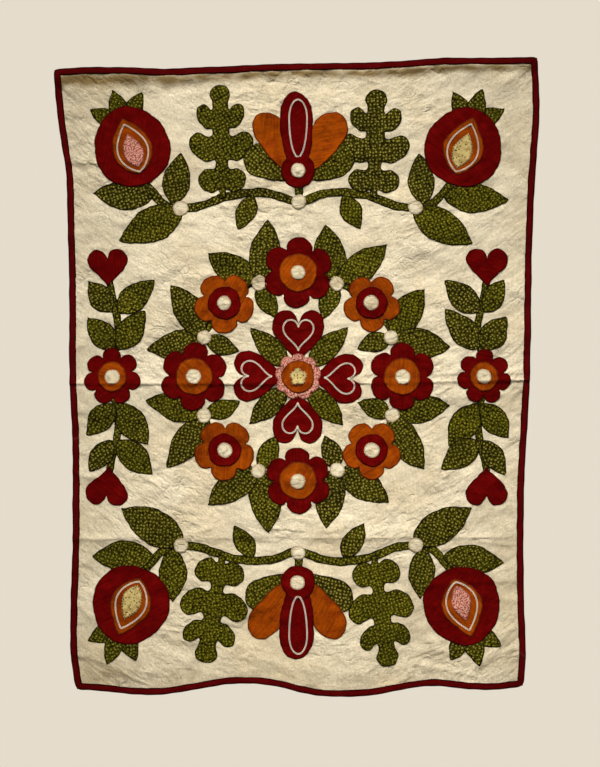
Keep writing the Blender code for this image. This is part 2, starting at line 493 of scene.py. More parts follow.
def resampled(outline, step):
    """Closed outline at even steps that keeps its sharp corners."""
    ahead = np.roll(outline, -1, 0) - outline
    behind = outline - np.roll(outline, 1, 0)
    turn = np.arctan2(ahead[:, 1], ahead[:, 0]) - np.arctan2(behind[:, 1], behind[:, 0])
    turn = np.abs((turn + np.pi) % (2 * np.pi) - np.pi)
    corners = np.flatnonzero(turn > 0.7)
    if len(corners) == 0:
        corners = np.array([0])
    outline = np.roll(outline, -corners[0], 0)
    corners = list(corners - corners[0]) + [len(outline)]
    outline = np.vstack((outline, outline[:1]))
    made = []
    for a, b in zip(corners[:-1], corners[1:]):
        run = outline[a:b + 1]
        far = lengths(run)
        places = np.linspace(0, far[-1], max(int(far[-1] / step), 1) + 1)[:-1]
        made.append(np.column_stack([np.interp(places, far, run[:, i]) for i in (0, 1)]))
    return np.vstack(made)


def inward(ring):
    """Unit vectors into a closed ring, whichever way round it runs."""
    way = np.roll(ring, -1, 0) - np.roll(ring, 1, 0)
    x, z = ring.T
    area = np.sum(x * np.roll(z, -1) - z * np.roll(x, -1))
    return -unit(right_of(way)) * np.sign(area)


def hand_cut(outline):
    """The outline as scissors and needle leave it: slightly wavering, and drawn in at every
    second point, where a stitch goes."""
    ring = resampled(outline, STITCH_STEP / 2)
    s = np.linspace(0, 2 * np.pi, len(ring), endpoint=False)
    length = len(ring) * STITCH_STEP / 2
    waver = np.zeros(len(ring))
    for wave in (0.060, 0.034, 0.019, 0.012):
        count = max(1, round(length / wave))
        waver += ((0.10 * MM + 0.010 * wave) * RNG.uniform(0.5, 1)
                  * np.sin(count * s + RNG.uniform(0, 6.3)))
    waver[::2] += NOTCH
    normal = inward(ring)
    sharp = np.sum(normal * (np.roll(normal, 1, 0) + np.roll(normal, -1, 0)), 1) / 2
    return ring + normal * (waver * soft_step(sharp, 0.80, 0.93))[:, None]


def distances(points, ring, closed=True):
    """Distance from each point to the nearest of a ring's sides."""
    a = ring if closed else ring[:-1]
    b = np.roll(ring, -1, 0) if closed else ring[1:]
    side = b - a
    t = np.einsum("pki,ki->pk", points[:, None] - a[None], side) / np.sum(side ** 2, 1)
    foot = a[None] + np.clip(t, 0, 1)[..., None] * side[None]
    return np.sqrt(np.min(np.sum((points[:, None] - foot) ** 2, 2), 1))


def inside(points, ring):
    """Which points lie inside a closed ring."""
    a, b = ring, np.roll(ring, -1, 0)
    crosses = (a[None, :, 1] > points[:, None, 1]) != (b[None, :, 1] > points[:, None, 1])
    slope = (b[:, 0] - a[:, 0]) / np.where(b[:, 1] == a[:, 1], 1e-12, b[:, 1] - a[:, 1])
    reach = a[None, :, 0] + (points[:, None, 1] - a[None, :, 1]) * slope[None]
    return (np.sum(crosses & (points[:, None, 0] < reach), 1) % 2).astype(bool)


def in_pieces(function, points, ring, size=4000):
    """A function of many points against one ring, worked out a part at a time."""
    return np.concatenate([function(points[i:i + size], ring)
                           for i in range(0, len(points), size)])


def window(ring, grow):
    """Lattice rows and columns that a ring covers, grown by a margin, and their points."""
    (x0, z0), (x1, z1) = ring.min(0) - grow, ring.max(0) + grow
    c0, c1 = max(int((x0 - GRID_X0) / CELL), 0), min(int((x1 - GRID_X0) / CELL) + 2, COLS)
    r0, r1 = max(int((GRID_Z0 - z1) / CELL), 0), min(int((GRID_Z0 - z0) / CELL) + 2, ROWS)
    return slice(r0, r1), slice(c0, c1), grid_points(LATTICE_X[c0:c1], LATTICE_Z[r0:r1])


SEAM_REACH = 16 * MM
sewn = [(fabric, hand_cut(outline)) for fabric, outline in patches]
seam = np.full((ROWS, COLS), SEAM_REACH)        # distance to the nearest sewn edge
for _, ring in sewn:
    for i in range(0, len(ring), 8):
        run = ring[np.arange(i, i + 9) % len(ring)]
        rows, cols, points = window(run, SEAM_REACH)
        here = distances(points, run, closed=False).reshape(seam[rows, cols].shape)
        seam[rows, cols] = np.minimum(seam[rows, cols], here)


# ---------------- relief of the cloth

# Creases pressed or pulled into the cloth, in mm. across and height at both ends, rise, reach
# above, reach below; a short reach below makes the lower face of the ridge steep.
CREASES = (
    (-372, -502.4, 60, -503, 2.9, 7, 2), (60, -503, 367, -496.2, 2.6, 5, 2.1),
    (80, -489, 362, -485.8, 1.1, 8, 2.4), (-372, -156, 370, -150, 0.7, 9, 4),
    (-35, -153.5, 150, -145, 1.5, 9, 3), (-360, -156, -305, -159, 1.6, 9, 3),
    (-355, -745, 330, -742, 1.3, 8, 3.2), (-350, -745.5, -290, -746, 1, 6, 3.6),
    (215, -744, 290, -743, 0.9, 7, 3), (290, -750, 350, -757.5, 2.1, 9, 3.6),
    (-365, -248, 365, -252, 0.5, 8, 5), (-230, -247, -155, -252, 1.1, 6, 3),
    (150, -249, 190, -248, 0.9, 6, 3), (0, -15, -3, -330, 0.7, 7, 7),
    (330, -460, 327, -600, 0.8, 7, 6), (-49, -40, -2, -66, 0.7, 5, 2.8),
    (89, -20, 134, -33, 1, 5, 2.6), (172, -30, 145, -96, 1.5, 9, 4),
    (196, -38, 158, -93, 1, 7, 3.5), (243, -12, 226, -36, 1.7, 6, 3.4),
    (346, -6, 357, -22, 1.2, 5, 3.2), (330, -120, 288, -149, 1.7, 8, 3.6),
    (344, -139, 292, -166, 1.2, 7, 3.6), (-154, -270, -98, -320, 1.1, 12, 5),
    (-98, -322, -25, -348, 0.9, 9, 4), (116, -325, 104, -395, 0.9, 7, 4),
    (92, -433, 68, -480, 1.6, 9, 3.6), (-97, -440, -64, -483, 1, 8, 4),
    (-206, -415, -143, -384, 1.2, 7, 3.4), (132, -393, 167, -396, 1.1, 6, 3.2),
    (-350, -428, -318, -429, 1, 6, 3.4), (-320, -510, -342, -541, 1.1, 7, 4),
    (-296, -615, -221, -577, 1, 8, 4), (-348, -643, -302, -656, 1.9, 8, 3.6),
    (278, -633, 343, -588, 1.8, 8, 3.6), (242, -641, 296, -608, 1.2, 7, 3.4),
    (300, -662, 345, -630, 1.3, 7, 3.4), (160, -593, 154, -676, 1, 6, 3.6),
    (18, -536, 42, -521, 1.3, 6, 3), (-52, -540, -24, -519, 1.2, 6, 3),
    (-160, -736, -126, -725, 1, 5, 3), (-300, -759, -250, -756, 1, 6, 2.8),
    (-342, -788, -318, -774, 1.1, 6, 3.2), (206, -818, 345, -810, 1.4, 7, 3.4),
    (245, -830, 343, -842, 1.2, 7, 3.6), (290, -796, 345, -789, 1.1, 6, 3.4),
    (-352, -146, -310, -184, 1.1, 6, 4), (-352, -844, -322, -868, 1.7, 8, 4.2),
    (-350, -854, 300, -850, 0.4, 7, 4), (-352, -926, -302, -940, 1.9, 8, 3.6),
    (-302, -940, -244, -967, 1.9, 8, 3.6), (-285, -930, -236, -962, 1.2, 6, 3.4),
    (-146, -890, -150, -952, -1.4, 4, 4), (-93, -885, -50, -861, -1.7, 4, 13),
    (25, -870, 75, -884, 0.9, 9, 4), (170, -940, 276, -959, 1.7, 7, 3),
    (279, -943, 343, -890, 1.7, 8, 3.6), (306, -909, 346, -874, 1.4, 7, 3.4),
    (312, -956, 346, -928, 1.3, 6, 3.4), (173, -896, 214, -908, 1, 7, 3.4),
)
CREASE_WINDOW = 30 * MM                     # beyond this a crease has died away
CREASE_FADE = (-20 * MM, 12 * MM)           # and it dies away at its ends over this stretch


def scattered(count):
    """Short creases all over the cloth, level in its middle and rising towards its sides."""
    made = []
    for _ in range(count):
        x, z = RNG.uniform(CAD_LOW.x, CAD_HIGH.x), RNG.uniform(CAD_LOW.z, CAD_HIGH.z)
        slant = math.atan(1.9 * x) + RNG.normal(0, 0.34)
        half = RNG.uniform(6, 24) * MM
        dx, dz = half * math.cos(slant), half * math.sin(slant)
        rise, above, below = RNG.uniform(0.30, 0.80), RNG.uniform(5, 9), RNG.uniform(2.8, 4.0)
        if RNG.random() < 0.3:
            rise, above, below = -0.8 * rise, below, above
        made.append((x - dx, z - dz, x + dx, z + dz, rise, above, below))
    return made


def creases():
    """All the creases as one lattice field, in metres of rise."""
    field = np.zeros((ROWS, COLS))
    uneven = 1 + 0.25 * cloud(30)
    marked = [(*np.array(crease[:4]) / 1000, *crease[4:]) for crease in CREASES]
    for x0, z0, x1, z1, rise, above, below in marked + scattered(240):
        rows, cols, points = window(np.array(((x0, z0), (x1, z1))), CREASE_WINDOW)
        along = np.array((x1 - x0, z1 - z0))
        length = np.linalg.norm(along)
        from_start = points - (x0, z0)
        t, side = from_start @ along / length, from_start @ (-along[1], along[0]) / length
        side *= np.sign(along[0]) or 1
        reach = np.where(side > 0, above, below) * MM
        fade = soft_step(t, *CREASE_FADE) * soft_step(length - t, *CREASE_FADE)
        ridge = rise * MM * np.exp(-np.abs(side / reach) ** 1.25) * fade
        field[rows, cols] += ridge.reshape(field[rows, cols].shape)
    return field * uneven


X, Z = np.meshgrid(LATTICE_X, LATTICE_Z)
from_side = np.minimum(X - edge(LEFT, Z), edge(RIGHT, Z) - X)
from_top, from_foot = edge(TOP, X) - Z, Z - edge(HEM, X)
from_end = np.minimum(from_top, from_foot)

# The whole quilt bends: soft crumpling, the creases, a hollow under the top edge where it is
# held, and a hem that swings back a little. In the hollow the cloth falls back steeply just
# below the binding, in uneven scallops, and comes forward slowly. Each reach is in mm.
CRUMPLE, RIPPLE = 1.20 * MM, 0.70 * MM
HEM_SWING, SWING_REACH = 4.5 * MM, 40
HOLLOW_TOP, HOLLOW_REACH = 18 * MM, 48
heavy = np.interp(X, (-0.36, -0.26, -0.16, -0.06, 0.04, 0.12, 0.22, 0.36),
                  (1.55, 1.40, 1.00, 0.55, 0.72, 0.88, 0.76, 0.68))
scallops = np.clip(heavy * (1 + 0.18 * np.sin(2 * np.pi * X / 0.052 + 1.6 * cloud(70)))
                   + 0.13 * cloud(16), 0.2, 1.9)
below_hem = from_top - BIND_WIDTH
hollow = (soft_step(below_hem, 0.5 * MM, (5 + 12 * scallops) * MM)
          * fading(below_hem - HOLLOW_TOP, HOLLOW_REACH))
bend = (CRUMPLE * cloud(64, 44) + RIPPLE * cloud(30, 20) + creases()
        - MM * (0.5 + 2.6 * scallops) * hollow - HEM_SWING * fading(from_foot, SWING_REACH))
MID = DRAPE - bend

# The top alone: drawn down along its sewn edges and puckered beside them and the binding,
# with long low wrinkles here and there. The reach is in mm.
PUCKER, WRINKLE, SIDE_PUCKER, END_PUCKER = 0.27 * MM, 0.60 * MM, 0.26 * MM, 0.32 * MM
PUCKER_REACH = 16
wrinkle = np.exp(-(cloud(34, 26) / 0.30) ** 2) * np.clip(cloud(40), 0, 1.6)
ground = (PUCKER * cloud(15, 9) * (0.75 + fading(seam, 9)) + WRINKLE * wrinkle
          + SIDE_PUCKER * cloud(26, 9) * fading(from_side - BIND_WIDTH, PUCKER_REACH)
          + END_PUCKER * cloud(9, 26) * fading(from_end - BIND_WIDTH, PUCKER_REACH)
          - SINK * fading(seam, 2.6))
ground *= soft_step(np.minimum(from_side, from_end), BIND_WIDTH - 3 * MM, BIND_WIDTH + 2 * MM)

# Brownish soiling and painted shade, 0 to 1: a ragged band below the top binding, part soil
# and part painted shadow of the binding; the foot and sides a little, as painted shade where
# the light falls off; and marks here and there, a few real stains and broad patches of painted
# shade, in mm. across, height, half width, half height, strength
SOIL_AND_SHADE_MARKS = (
    (297, -214, 4, 16, 0.34), (-330, -660, 26, 9, 0.15), (322, -762, 26, 10, 0.20),
    (-322, -752, 30, 9, 0.20), (-300, -955, 45, 18, 0.18), (300, -915, 38, 26, 0.16),
    (315, -835, 30, 20, 0.14), (-336, -160, 16, 9, 0.15), (318, -146, 22, 14, 0.11),
    (-85, -872, 20, 12, 0.10), (246, -880, 130, 75, 0.22), (308, -723, 60, 70, 0.16),
    (-271, -927, 100, 45, 0.16), (-185, -963, 60, 22, 0.18), (60, -660, 190, 130, 0.10),
    (-349, -115, 30, 70, 0.19), (-165, -168, 45, 35, 0.18), (80, -170, 95, 45, 0.16),
    (70, -290, 50, 30, 0.12), (190, -856, 55, 32, 0.14), (315, -110, 45, 40, 0.18),
    (-322, -36, 55, 20, 0.22),
)
# The band under the binding is soil and painted shadow; the foot and sides get painted shade
in_band = (below_hem - (2.8 + 3.0 * scallops) * MM) / ((4.4 + 2.6 * scallops) * MM)
soil_and_shade = ((0.72 + 0.35 * heavy) * np.exp(-in_band ** 2) * (0.90 + 0.20 * cloud(12, 8))
        + 0.14 * fading(from_foot, 60) * (1 + 0.6 * cloud(30)) + 0.055 * fading(below_hem, 90)
        + 0.07 * fading(from_side, 26) * (1 + 0.5 * cloud(26))
        * np.interp(Z, (-0.60, -0.30), (1.0, 0.5)))
for x, z, wide, tall, strength in SOIL_AND_SHADE_MARKS:
    spread = ((X - x / 1000) / (wide * MM)) ** 2 + ((Z - z / 1000) / (tall * MM)) ** 2
    soil_and_shade += strength * np.exp(-spread) * (1 + 0.4 * cloud(10))
soil_and_shade = np.clip(soil_and_shade, 0, 1)


def face(x, z, rise):
    """Points on the front of the quilt, rise metres above its flattened muslin top."""
    return np.column_stack((x, sample(MID, x, z) - BODY_HALF - rise, z))


# ---------------- meshes

def build(name, points, faces, material, attributes=(), uv=None):
    """A smooth-shaded piece from points and faces, with named point attributes and, where
    given, one texture place a point."""
    mesh = bpy.data.meshes.new(name)
    mesh.from_pydata([tuple(p) for p in points], [], [tuple(int(i) for i in f) for f in faces])
    mesh.shade_smooth()
    for key, kind, values in attributes:
        layer = mesh.attributes.new(key, kind, "POINT")
        slot = "vector" if kind == "FLOAT_VECTOR" else "value"
        layer.data.foreach_set(slot, np.asarray(values, np.float32).ravel())
    if uv is not None:
        corner = np.empty(len(mesh.loops), int)
        mesh.loops.foreach_get("vertex_index", corner)
        layer = mesh.uv_layers.new(name="OFBake")
        layer.data.foreach_set("uv", np.asarray(uv, np.float32)[corner].ravel())
    mesh.materials.append(material)
    mesh.update()
    piece = bpy.data.objects.new(name, mesh)
    bpy.context.scene.collection.objects.link(piece)
    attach(piece, "root")
    return piece


def grid_faces(cols, rows):
    """Quads between the points of a grid laid out row by row."""
    i = np.arange((rows - 1) * cols).reshape(rows - 1, cols)[:, :-1].ravel()
    return np.column_stack((i, i + cols, i + cols + 1, i + 1))


# Heights where the sheets' rows lie closer together, how much closer, and over what distance
FOLD_LEVELS, CROWDING, CROWD_REACH = (-0.5015, -0.7450), 1.3, 11 * MM


def sheet_points(cols, rows):
    """Grid points over the quilt inside its edges, row by row from the top."""
    down = np.linspace(0, 1, 2000)
    height = CAD_HIGH.z + down * (CAD_LOW.z - CAD_HIGH.z)
    crowd = 1 + sum(CROWDING * np.exp(-((height - level) / CROWD_REACH) ** 2)
                    for level in FOLD_LEVELS)
    share = np.cumsum(crowd) / crowd.sum()
    rows_down = np.interp(np.linspace(share[0], 1, rows), share, down)
    s, t = grid_points(np.linspace(0, 1, cols), rows_down).T
    z = CAD_HIGH.z + t * (CAD_LOW.z - CAD_HIGH.z)
    for _ in range(3):
        x = (1 - s) * (edge(LEFT, z) + SHEET_INSET) + s * (edge(RIGHT, z) - SHEET_INSET)
        z = (1 - t) * (edge(TOP, x) - SHEET_INSET) + t * (edge(HEM, x) + SHEET_INSET)
    return x, z


# Rise of a patch above what it is sewn to, by distance in from its edge, both in mm. The
# small cream discs rise less.
DEPTHS = (0, 0.35, 0.9, 1.9, 3.6, 6.0)
PATCH_RISE = (-0.45, 0.50, 1.05, 1.15, 0.90, 0.75)
DISC_RISE = (-0.10, 0.25, 0.32, 0.34, 0.34, 0.34)
GRID_DEPTH = 5.2                            # where the inner grid of points begins, mm
# Spacing of that grid, finer in small patches
INNER_STEP = 3.3 * MM
FINE_STEP = {"cream": 1.7 * MM, "yellow": 2.0 * MM, "pink": 2.4 * MM}


def patch_rise(depth, fabric):
    """Rise of a patch of this fabric so far in from its edge, in metres."""
    rise = DISC_RISE if fabric == "cream" else PATCH_RISE
    return np.interp(depth, np.array(DEPTHS) * MM, np.array(rise) * MM)


def gathers(points, depth):
    """Rise of the folds that a small disc's turned edge draws across it."""
    rise = np.zeros(len(points))
    for _ in range(RNG.integers(3, 6)):
        a, off = RNG.uniform(0, 2 * np.pi), RNG.uniform(-3, 3) * MM
        along, aside = rotated(points - points.mean(0), a).T
        rise += (RNG.uniform(0.20, 0.40) * MM * np.exp(-((aside - off) / (1.1 * MM)) ** 2)
                 * soft_step(along, -3 * MM, 6 * MM))
    return rise * soft_step(depth, 0, 1.5 * MM)


def patch_points(ring, inner_step):
    """A patch's points: its outline, rounded-edge rows inside it and a loose inner grid."""
    normal = inward(ring)
    groups = [ring]
    for inset in DEPTHS[1:-1]:
        row = (ring + normal * inset * MM)[::2 if inset > 3 else 1]
        groups.append(row[(distances(row, ring) > 0.86 * inset * MM) & inside(row, ring)])
    inner = grid_points(*(np.arange(side.min(), side.max(), inner_step) for side in ring.T))
    inner += RNG.uniform(-0.3, 0.3, inner.shape) * inner_step
    inner = inner[in_pieces(inside, inner, ring)]
    if len(inner):
        inner = inner[in_pieces(distances, inner, ring) > GRID_DEPTH * MM]
    groups.append(inner)
    return np.vstack(groups)


def patch_faces(points, count):
    """Triangles over a patch whose first count points are its outline."""
    made = delaunay_2d_cdt([Vector(p) for p in points], [], [list(range(count))], 1, 1e-7, True)
    back = [origins[0] if origins else -1 for origins in made[3]]
    faces = np.array([[back[i] for i in f] for f in made[2] if all(back[i] >= 0 for i in f)])
    corners = points[faces]
    longest = np.linalg.norm(corners - np.roll(corners, 1, 1), axis=2).max(1)
    kept = in_pieces(inside, corners.mean(1), points[:count]) & (longest < 12 * MM)
    return faces[kept].tolist()


FABRICS = ("red", "orange", "green", "pink", "yellow", "cream")
stack, soft_stack = ground.copy(), ground.copy()
owner = np.full((ROWS, COLS), -1)
# Per fabric: number, flat points, rise, faces, depth, print coordinates, tone
parts = {fabric: [] for fabric in FABRICS}
for number, (fabric, ring) in enumerate(sewn):
    flat = patch_points(ring, FINE_STEP.get(fabric, INNER_STEP))
    faces = patch_faces(flat, len(ring))
    depth = in_pieces(distances, flat, ring)
    depth[:len(ring)] = 0
    rise = sample(soft_stack, *flat.T)
    if fabric == "cream":           # small discs span whatever lies under them
        rise = np.maximum(rise, rise.mean()) + gathers(flat, depth) + 0.2 * MM
    rise += patch_rise(depth, fabric)
    turn, tone = RNG.uniform(0, 2 * np.pi), RNG.uniform(0, 1)
    cut = np.column_stack((rotated(flat, -turn), np.full(len(flat), number * 0.37)))
    parts[fabric].append((number, flat, rise, faces, depth, cut, np.full(len(flat), tone)))
    rows, cols, points = window(ring, 4 * MM)
    within = in_pieces(inside, points, ring)
    lift = np.zeros(len(points))
    lift[within] = np.maximum(patch_rise(in_pieces(distances, points[within], ring), fabric),
                              0.1 * MM)
    shape = stack[rows, cols].shape
    stack[rows, cols] += lift.reshape(shape)
    soft_stack[rows, cols] = blur(stack[rows, cols], 1)
    owner[rows, cols] = np.where(within.reshape(shape), number, owner[rows, cols])


# ---------------- thread

def tubes(paths, radius, sides=3, closed=False):
    """Points and faces of many thin tubes at once, along paths of equal numbers of points."""
    paths = np.asarray(paths, float)
    if closed:
        way = np.roll(paths, -1, 1) - np.roll(paths, 1, 1)
    else:
        way = np.gradient(paths, axis=1)
    way = unit(way)
    side = unit(np.cross(way, (0, -1, 0.001)))
    up = np.cross(side, way)
    a = np.arange(sides) * 2 * np.pi / sides
    around = side[:, :, None] * np.sin(a)[:, None] + up[:, :, None] * np.cos(a)[:, None]
    points = (paths[:, :, None] + radius * around).reshape(-1, 3)
    count, long = paths.shape[:2]
    i, j, k = np.meshgrid(np.arange(count), np.arange(long if closed else long - 1),
                          np.arange(sides), indexing="ij")
    base, ahead = (i * long + j) * sides, (i * long + (j + 1) % long) * sides
    faces = np.stack((base + k, ahead + k, ahead + (k + 1) % sides, base + (k + 1) % sides),
                     -1).reshape(-1, 4).tolist()
    if not closed:
        for n in range(count):
            first, last = n * long * sides, (n * long + long - 1) * sides
            faces.append([first + k for k in range(sides)])
            faces.append([last + k for k in reversed(range(sides))])
    return points, faces


# How far in from a patch's edge and out from it, mm, it is tested whether the edge shows
PROBE_IN, PROBE_OUT = 2.2, 1.6
CLEARANCE = 3                   # cells to the nearest later patch
STEP_HALF = 2.5                 # half the width over which the edge's step is read, mm


def cells(points):
    """Lattice row and column nearest each point."""
    row, col = (GRID_Z0 - points[:, 1]) / CELL, (points[:, 0] - GRID_X0) / CELL
    return (np.clip(row.round().astype(int), 0, ROWS - 1),
            np.clip(col.round().astype(int), 0, COLS - 1))


def hem_stitches(ring, number):
    """Slanted stitches over a patch's edge, wherever no later patch covers them."""
    edge_points, normal = ring[::2], inward(ring)[::2]
    along = right_of(normal)
    row, col = cells(edge_points + normal * PROBE_IN * MM)
    beyond = owner[cells(edge_points - normal * PROBE_OUT * MM)]
    shown = (owner[row, col] == number) & (beyond < number)
    for nudge in (-CLEARANCE, CLEARANCE):
        near_row, near_col = np.clip(row + nudge, 0, ROWS - 1), np.clip(col + nudge, 0, COLS - 1)
        shown &= (owner[near_row, col] <= number) & (owner[row, near_col] <= number)
    low, high = (sample(soft_stack, *(edge_points + normal * deep * MM).T)
                 for deep in (-STEP_HALF, STEP_HALF))
    shown &= high > low
    edge_points, normal, along, low, high = (
        values[shown] for values in (edge_points, normal, along, low, high))
    path = []
    # how far in, how far along, share of the step climbed, rise above it
    for deep, aside, climbed, rise in ((-0.55, 0.30, 0.0, 0.05), (0.15, 0.05, 0.75, 0.28),
                                       (0.95, -0.15, 1.0, 0.26), (1.45, -0.30, 1.0, -0.25)):
        p = edge_points + (normal * deep + along * aside) * MM
        path.append(face(*p.T, low + (high - low) * climbed + rise * MM))
    return np.stack(path, 1)


def chain_stitch(line):
    """Links of outline embroidery along a closed line, each inside the tip of the last."""
    spine = resampled(line, CHAIN_LINK)
    ahead = unit(np.roll(spine, -1, 0) - spine)
    aside = right_of(ahead)
    # place along the link, half width, rise; a teardrop, up one side and down the other
    half = ((-0.10, 0.05, 0.10), (0.18, 0.42, 0.42), (0.52, 0.50, 0.55), (0.86, 0.40, 0.55),
            (1.10, 0.14, 0.42))
    loop = half + tuple((t, -w, r) for t, w, r in half[::-1])
    path = []
    for t, w, r in loop:
        p = spine + ahead * t * CHAIN_LINK + aside * w * CHAIN_WIDTH
        p += RNG.uniform(-0.12, 0.12, p.shape) * MM
        path.append(face(*p.T, sample(soft_stack, *p.T) + r * MM))
    return np.stack(path, 1)


# ---------------- binding

# Section of the binding from its hem at the back, round the quilt's edge, to its hem in front:
# inset from the edge and rise above the quilt's middle, mm.
SECTION = ((10.8, -1.15), (9.6, -1.75), (7.5, -2.15), (4.5, -2.35), (2.2, -2.30), (0.9, -1.85),
           (0.15, -1.05), (0.0, 0.0), (0.15, 1.05), (0.8, 1.90), (2.0, 2.45), (3.6, 2.70),
           (5.4, 2.78), (7.2, 2.74), (8.8, 2.62), (10.0, 2.40), (10.8, 1.95), (11.2, 1.35),
           (11.3, 0.80))
FRONT_ROW = 12                  # a place in the section that faces the front
BIND_STEP = 1.5 * MM
TIP_STILL, TIP_FREE = 3 * MM, 14 * MM       # no wavering so near a tip, and all of it from here
OUTER_WAVER, INNER_WAVER = 0.16 * MM, 0.20 * MM
STRIP_PUCKER, STRIP_LEAN = 0.05 * MM, 0.06 * MM
GROOVE = 0.30 * MM                          # how deep the ends of two strips sink at a join
EDGE_LENGTH = {"top": WIDTH, "hem": WIDTH, "left": HEIGHT, "right": HEIGHT}


def meet(upright, level, depth):
    """Where the lines at the same depth inside two edges meet: left or right, and top or hem."""
    x, z = 0, -0.1 if level == "top" else -0.9
    for _ in range(3):
        x, z = edge_inset(level, *edge_inset(upright, x, z, depth), depth)
    return x, z


def waver_along(count, waves, size):
    """Uneven line: a few sine waves of about these lengths in steps, summed."""
    s = np.arange(count)
    return size * sum(RNG.uniform(0.5, 1) * np.sin(2 * np.pi * s / w + RNG.uniform(0, 6.3))
                      for w in waves)


def binding_strip(side, start=0.0, end=1.0):
    """One binding strip, from one share of its edge to another: points by place along and place
    in the section, flat places, and closeness to its tips. Strips that meet share points."""
    upright = side in ("left", "right")
    ends = ("top", "hem") if upright else ("left", "right")
    count = int(EDGE_LENGTH[side] * (end - start) / BIND_STEP)
    s = np.linspace(start, end, count)
    from_tip = np.minimum(s - start, end - s) * EDGE_LENGTH[side]
    free = soft_step(from_tip, TIP_STILL, TIP_FREE)
    outer_waver = waver_along(count, (19, 31, 53, 90), OUTER_WAVER)
    inner_waver = waver_along(count, (17, 29, 47, 80), INNER_WAVER)
    inner_waver[::3] -= NOTCH                       # where the hem is stitched down
    pucker = waver_along(count, (5.1, 6.7, 8.3, 11.0), STRIP_PUCKER)
    lean = waver_along(count, (7.0, 9.5, 14), STRIP_LEAN)
    groove = GROOVE * fading(from_tip, 0.9)
    across = []
    for inset, rise in SECTION:
        depth = inset * MM
        (x0, z0), (x1, z1) = (meet(side, other, depth) if upright else meet(other, side, depth)
                              for other in ends)
        x, z = x0 + s * (x1 - x0), z0 + s * (z1 - z0)
        shift = depth + free * (outer_waver * max(0, 1 - inset / 4)
                                + inner_waver * max(0, inset / 4 - 1.8))
        x, z = edge_inset(side, x, z, shift)
        # Round the corners: points near one move in along its diagonal.
        for sign_x, line_x in ((1, LEFT), (-1, RIGHT)):
            for sign_z, line_z in ((-1, TOP), (1, HEM)):
                off = (x - edge(line_x, z)) ** 2 + (z - edge(line_z, x)) ** 2
                move = CORNER_ROUND * np.exp(-off / (2 * (2.4 * CORNER_ROUND) ** 2))
                x, z = x + sign_x * move, z + sign_z * move
        facing = 1.0 if rise > 0 else -1.0
        out = free * (pucker + lean * (inset - 5) / 6) * min(inset / 2, 1)
        out = rise * MM + facing * (out - groove * (abs(rise) > 1.2))
        across.append(np.column_stack((x, sample(MID, x, z) - out, z)))
    turned_over = lengths(np.array(SECTION)) * MM
    flat = np.stack(np.meshgrid(s * EDGE_LENGTH[side], turned_over, indexing="ij"), -1)
    from_join = np.minimum(s - start if start > 0 else 1 + 0 * s, end - s if end < 1 else 1.0)
    tip = np.repeat(fading(from_join * EDGE_LENGTH[side], 1.2), len(SECTION))
    return np.stack(across, 1), flat.reshape(-1, 2), tip


def facing_out(points, faces, row):
    """The grid's faces, turned so that those of one row in the section face the front."""
    a, b, c = (points.reshape(-1, 3)[faces[row][i]] for i in (0, 1, 2))
    return faces if np.cross(b - a, c - b)[1] < 0 else faces[:, ::-1]


# ---------------- materials

TOP_PITCH = 0.62 * MM           # thread spacing of the muslin, and of the other cloths
FINE_PITCH = 0.45 * MM
BUMP_DEPTH = 0.5 * MM           # what one unit of a cloth's height stands for
# Colour of soiled muslin, also standing in for painted shade under the top binding and towards its
# edges
SOIL_AND_SHADE_COLOUR = (0.260, 0.175, 0.070)


class Nodes:
    """The node tree of a material or a world."""

    def __init__(self, owner):
        owner.use_nodes = True
        self.tree = owner.node_tree

    def feed(self, socket, value):
        """Give an input another node's output, a number, a vector or a colour."""
        if isinstance(value, bpy.types.NodeSocket):
            self.tree.links.new(value, socket)
        elif socket.type == "RGBA":
            socket.default_value = (*value, 1)
        else:
            socket.default_value = value

    def node(self, kind, *inputs, **named):
        """A node, its settings and inputs by name, and other inputs in their order."""
        made = self.tree.nodes.new("ShaderNode" + kind)
        for key, value in named.items():
            name = key.replace("_", " ")
            if name in made.inputs:
                self.feed(made.inputs[name], value)
            else:
                setattr(made, key, value)
        for socket, value in zip([i for i in made.inputs if i.enabled], inputs):
            self.feed(socket, value)
        return made

    def math(self, operation, a, b=0.0):
        return self.node("Math", a, b, operation=operation).outputs["Value"]

    def times(self, a, b):
        return self.math("MULTIPLY", a, b)

    def plus(self, a, b):
        return self.math("ADD", a, b)

    def mix(self, factor, a, b, blend="MIX"):
        made = self.node("Mix", factor, a, b, data_type="RGBA", blend_type=blend)
        return next(o for o in made.outputs if o.enabled)

    def for_camera(self, base, seen, share=1.0):
        """A shader that camera rays meet as another one, by this share."""
        ray = self.node("LightPath").outputs["Is Camera Ray"]
        return self.node("MixShader", self.times(ray, share), base, seen).outputs["Shader"]


